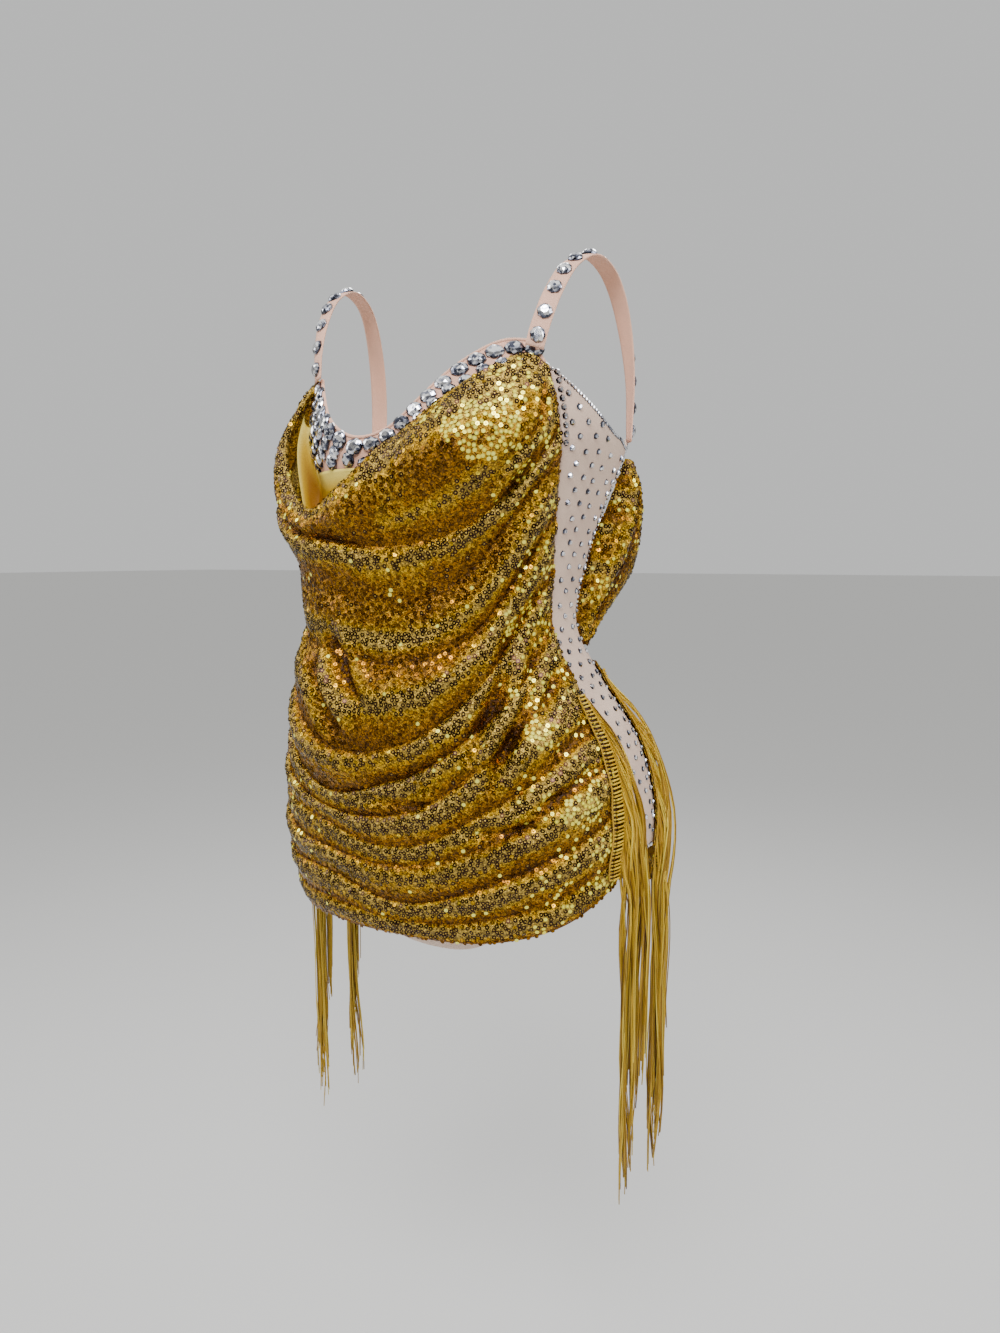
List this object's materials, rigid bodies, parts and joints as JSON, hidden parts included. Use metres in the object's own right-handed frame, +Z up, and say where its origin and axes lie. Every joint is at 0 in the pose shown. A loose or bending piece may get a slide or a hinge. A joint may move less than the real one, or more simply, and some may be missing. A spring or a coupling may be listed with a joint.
{
  "type": "sequin bodysuit",
  "caption": "Stage bodysuit with crystal-set cups and straps, a cowl-necked sequin drape over the front, a sequin swag and skirt at the back, and long fringe down the sides.",
  "frame": {"origin": "midway between the two shoulder straps, at the height where they lie on the shoulders", "axes": "+Z up, the wearer faces -Y, the wearer's left is +X"},
  "size_m": [0.4057, 0.3423, 0.9116],
  "materials": {
    "sequin_mesh": "gold ring sequins sewn on gold net",
    "mesh_reverse": "soft satin reverse of the sequin net",
    "nude_mesh": "matt stretch mesh",
    "crystal": "faceted, mirror-backed",
    "chainette": "satin rayon chainette"
  },
  "bodies": {
    "root": {"body_front": "nude_mesh", "body_back": "nude_mesh", "side_panel_left": "nude_mesh", "side_panel_right": "nude_mesh", "strap_left": "crystal", "strap_right": "crystal", "front_drape": "sequin_mesh", "cowl_facing": "mesh_reverse", "back_swag": "sequin_mesh", "back_skirt": "sequin_mesh", "fringe_front_left": "chainette", "fringe_front_right": "chainette", "fringe_back_left": "chainette", "fringe_back_right": "chainette"}
  },
  "joints": []
}
